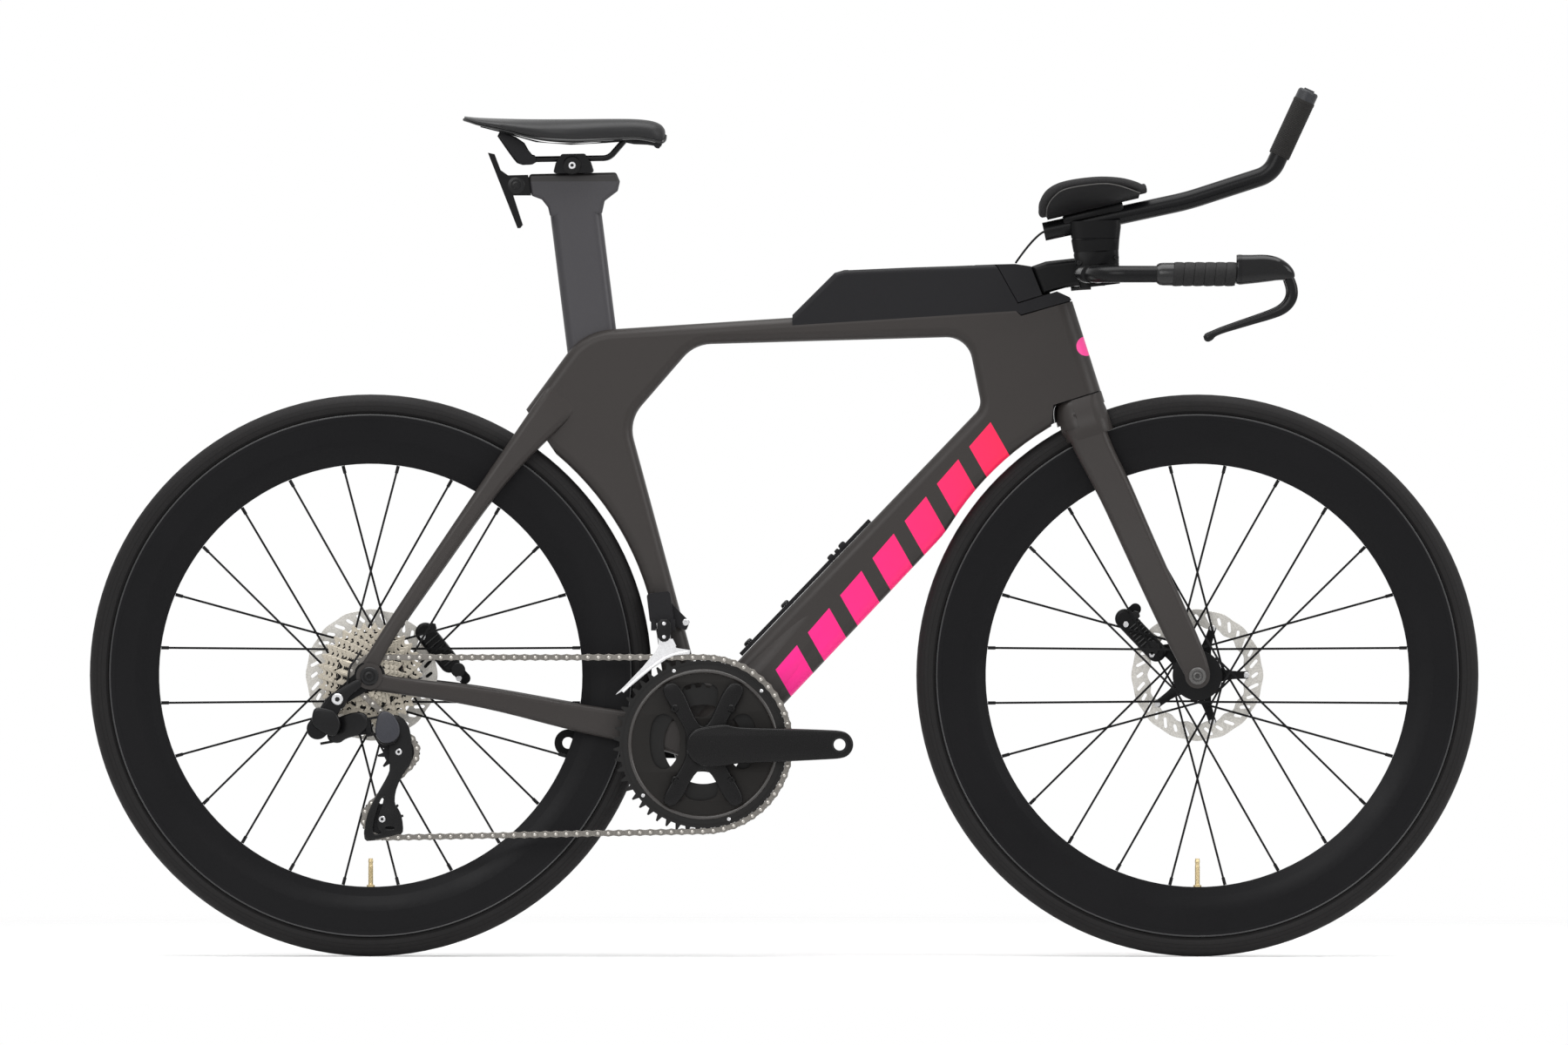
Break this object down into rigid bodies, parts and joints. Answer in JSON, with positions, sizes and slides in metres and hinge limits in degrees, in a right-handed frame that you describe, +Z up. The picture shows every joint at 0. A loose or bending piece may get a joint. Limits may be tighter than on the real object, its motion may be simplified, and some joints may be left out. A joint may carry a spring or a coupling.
{
  "type": "time trial bike",
  "caption": "Time trial bike with an aero frame, deep rims, arm rests on long extensions, a storage box and a working drivetrain, steering, brakes and saddle.",
  "frame": {"origin": "centre of the bounding box at the ground, midway between the axles on the mid-plane", "axes": "+X forward, +Y to the rider's left, +Z up"},
  "size_m": [1.68, 0.4192, 1.0512],
  "materials": {
    "frame_paint": "satin grey paint over moulded composite",
    "post_paint": "satin grey paint",
    "composite_black": "matt black composite",
    "cover_black": "fine grained black plastic",
    "rubber_tyre": "black rubber with tan-grey dust",
    "rim_black": "satin black composite",
    "spoke_black": "black coated steel",
    "anodised_black": "black anodised",
    "rotor_steel": "ground stainless steel",
    "chain_steel": "nickel plated steel",
    "cassette_steel": "nickel plated steel",
    "ring_grey": "dark anodised",
    "silver_alloy": "bright machined",
    "grip_tape": "ribbed grip tape",
    "hood_rubber": "textured rubber",
    "saddle_skin": "smooth synthetic leather",
    "pad_fabric": "close knit over foam",
    "pad_metal": "sintered friction material",
    "wire_black": "smooth black sheath"
  },
  "bodies": {
    "frame": {"frame": "frame_paint", "frame_bearings": "anodised_black", "headset_cover": "cover_black", "storage_box": "cover_black", "bottle_rail": "cover_black", "derailleur_hanger": "anodised_black", "rear_thru_axle": "anodised_black", "rear_caliper": "anodised_black", "rear_brake_pads": "pad_metal", "fd_motor": "cover_black", "rd_body": "anodised_black", "chain": "chain_steel"},
    "storage_lid": {"storage_lid": "cover_black"},
    "seatpost": {"seatpost": "post_paint", "saddle_clamp": "anodised_black", "rear_bracket": "anodised_black"},
    "saddle": {"saddle_cover": "saddle_skin", "saddle_shell": "composite_black", "saddle_rails": "composite_black"},
    "steering": {"fork": "frame_paint", "front_thru_axle": "anodised_black", "front_caliper": "anodised_black", "front_brake_pads": "pad_metal", "stem": "anodised_black", "stem_cover": "cover_black", "base_bar": "composite_black", "hand_grips": "grip_tape", "lever_hoods": "hood_rubber", "risers": "anodised_black", "arm_cups": "composite_black", "arm_pads": "pad_fabric", "cockpit_wires": "wire_black", "extensions": "composite_black", "shifter_pods": "cover_black"},
    "brake_lever_right": {"brake_lever_right": "composite_black"},
    "brake_lever_left": {"brake_lever_left": "composite_black"},
    "shift_button_right": {"shift_button_right": "cover_black"},
    "shift_button_left": {"shift_button_left": "cover_black"},
    "front_wheel": {"front_tyre": "rubber_tyre", "front_rim": "rim_black", "front_spokes": "spoke_black", "front_hub": "anodised_black", "front_rotor": "rotor_steel"},
    "rear_wheel": {"rear_tyre": "rubber_tyre", "rear_rim": "rim_black", "rear_spokes": "spoke_black", "rear_hub": "anodised_black", "rear_rotor": "rotor_steel"},
    "cassette": {"cassette": "cassette_steel"},
    "crank": {"crank_right": "anodised_black", "crank_left": "anodised_black", "chainring_outer": "ring_grey", "chainring_inner": "ring_grey"},
    "fd_cage": {"fd_cage": "silver_alloy"},
    "rd_outer_link": {"rd_outer_link": "anodised_black"},
    "rd_inner_link": {"rd_inner_link": "anodised_black"},
    "rd_knuckle": {"rd_knuckle": "anodised_black"},
    "rd_cage": {"rd_cage": "composite_black"},
    "guide_pulley": {"guide_pulley": "cover_black"},
    "tension_pulley": {"tension_pulley": "cover_black"}
  },
  "joints": [
    {"name": "steering_turn", "type": "hinge", "parent": "frame", "child": "steering", "pos_m": [0.35646, 0, 0.644], "axis": [-0.2982, 0, 0.9545], "range_deg": [-30, 30]},
    {"name": "front_wheel_spin", "type": "hinge", "parent": "steering", "child": "front_wheel", "pos_m": [0.5, 0, 0.34], "axis": [0, 1, 0], "continuous": true},
    {"name": "rear_wheel_spin", "type": "hinge", "parent": "frame", "child": "rear_wheel", "pos_m": [-0.5, 0, 0.34], "axis": [0, 1, 0], "continuous": true},
    {"name": "crank_spin", "type": "hinge", "parent": "frame", "child": "crank", "pos_m": [-0.09722, 0, 0.25726], "axis": [0, 1, 0], "continuous": true, "deforming": ["chain"]},
    {"name": "cassette_spin", "type": "hinge", "parent": "frame", "child": "cassette", "pos_m": [-0.5, 0, 0.34], "axis": [0, 1, 0], "continuous": true},
    {"name": "rd_shift", "type": "hinge", "parent": "frame", "child": "rd_outer_link", "pos_m": [-0.54171, -0.066, 0.27132], "axis": [-0.1765, 0, 0.9843], "range_deg": [0, 46]},
    {"name": "rd_inner_swing", "type": "hinge", "parent": "frame", "child": "rd_inner_link", "pos_m": [-0.54171, -0.054, 0.27132], "axis": [-0.1765, 0, 0.9843], "range_deg": [0, 46]},
    {"name": "rd_knuckle_swing", "type": "hinge", "parent": "rd_outer_link", "child": "rd_knuckle", "pos_m": [-0.50097, -0.0853, 0.27862], "axis": [-0.1765, 0, 0.9843], "range_deg": [-46, 0]},
    {"name": "rd_cage_swing", "type": "hinge", "parent": "rd_knuckle", "child": "rd_cage", "pos_m": [-0.47798, -0.062, 0.27027], "axis": [0, 1, 0], "range_deg": [-8, 30], "stiffness_Nm_per_rad": 1.5},
    {"name": "guide_pulley_spin", "type": "hinge", "parent": "rd_cage", "child": "guide_pulley", "pos_m": [-0.46474, -0.062, 0.2485], "axis": [0, 1, 0], "continuous": true},
    {"name": "tension_pulley_spin", "type": "hinge", "parent": "rd_cage", "child": "tension_pulley", "pos_m": [-0.48468, -0.062, 0.16718], "axis": [0, 1, 0], "continuous": true},
    {"name": "fd_swing", "type": "hinge", "parent": "frame", "child": "fd_cage", "pos_m": [-0.14557, -0.041, 0.3995], "axis": [1, 0, 0], "range_deg": [0, 7]},
    {"name": "brake_right", "type": "hinge", "parent": "steering", "child": "brake_lever_right", "pos_m": [0.60828, -0.195, 0.82456], "axis": [0, 1, 0], "range_deg": [0, 14], "stiffness_Nm_per_rad": 4, "springref_deg": -1.72},
    {"name": "brake_left", "type": "hinge", "parent": "steering", "child": "brake_lever_left", "pos_m": [0.60828, 0.195, 0.82456], "axis": [0, 1, 0], "range_deg": [0, 14], "stiffness_Nm_per_rad": 4, "springref_deg": -1.72},
    {"name": "shift_right", "type": "slide", "parent": "steering", "child": "shift_button_right", "axis": [-0.4184, 0, -0.9083], "range_m": [0, 0.0015], "stiffness_N_per_m": 500},
    {"name": "shift_left", "type": "slide", "parent": "steering", "child": "shift_button_left", "axis": [-0.4184, 0, -0.9083], "range_m": [0, 0.0015], "stiffness_N_per_m": 500},
    {"name": "seat_height", "type": "slide", "parent": "frame", "child": "seatpost", "axis": [-0.124, 0, 0.9923], "range_m": [-0.03, 0.03]},
    {"name": "saddle_setback", "type": "slide", "parent": "seatpost", "child": "saddle", "axis": [1, 0, 0], "range_m": [-0.006, 0.016]},
    {"name": "lid_open", "type": "hinge", "parent": "frame", "child": "storage_lid", "pos_m": [0.22789, 0, 0.83358], "axis": [0, 1, 0], "range_deg": [0, 90]}
  ],
  "couplings": [
    {"joint": "cassette_spin", "follows": "crank_spin", "ratio": 4.7273},
    {"joint": "tension_pulley_spin", "follows": "crank_spin", "ratio": 4.7273},
    {"joint": "guide_pulley_spin", "follows": "crank_spin", "ratio": -4.7273},
    {"joint": "rd_inner_swing", "follows": "rd_shift", "ratio": 1},
    {"joint": "rd_knuckle_swing", "follows": "rd_shift", "ratio": -1}
  ]
}
